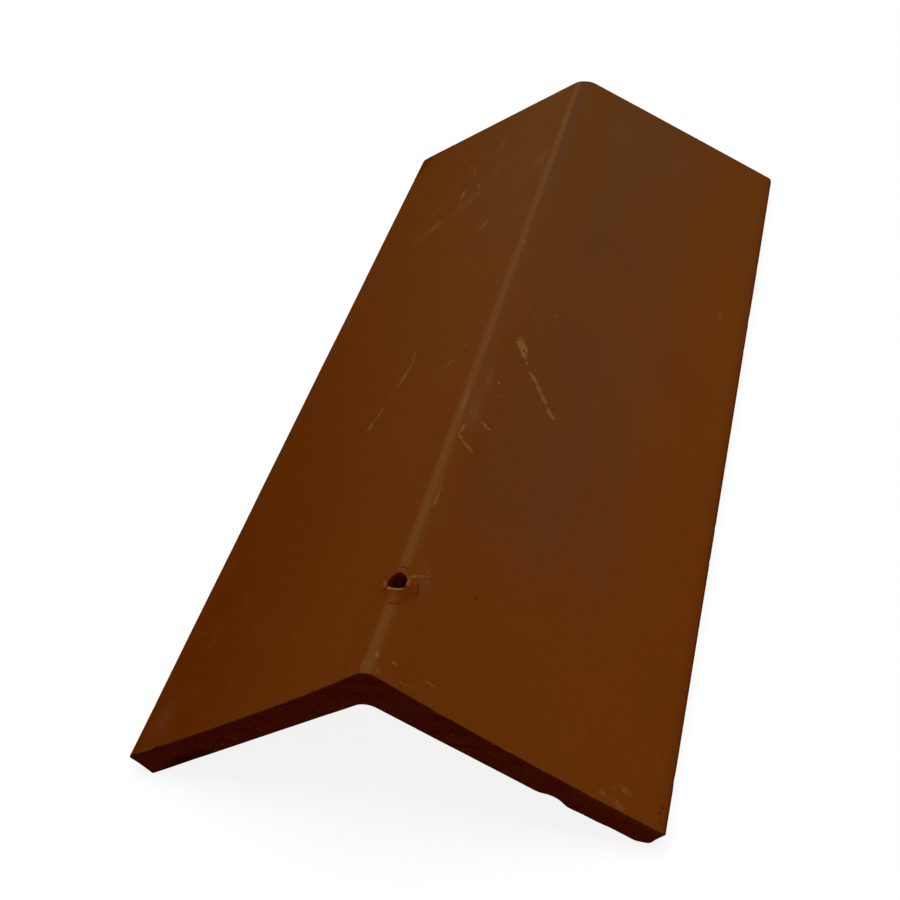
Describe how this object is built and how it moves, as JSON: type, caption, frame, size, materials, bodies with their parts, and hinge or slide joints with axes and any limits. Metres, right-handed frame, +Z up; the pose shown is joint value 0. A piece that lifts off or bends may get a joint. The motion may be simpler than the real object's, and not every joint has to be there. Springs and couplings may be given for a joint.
{
  "type": "clay ridge tile",
  "caption": "Plain angle ridge tile of brown fired clay: two flat wings meeting at a rounded ridge, square-cut ends and a nail hole on the crest.",
  "frame": {"origin": "middle of the tile's length and width, on the floor that its two long edges stand on", "axes": "+Y along the ridge, away from the end with the nail hole; +Z up, towards the ridge; +X to the right wing"},
  "size_m": [0.203, 0.45, 0.0742],
  "materials": {
    "fired_clay": "smooth fired clay, satin, brown with worn pale marks"
  },
  "bodies": {
    "root": {"ridge_tile": "fired_clay"}
  },
  "joints": []
}
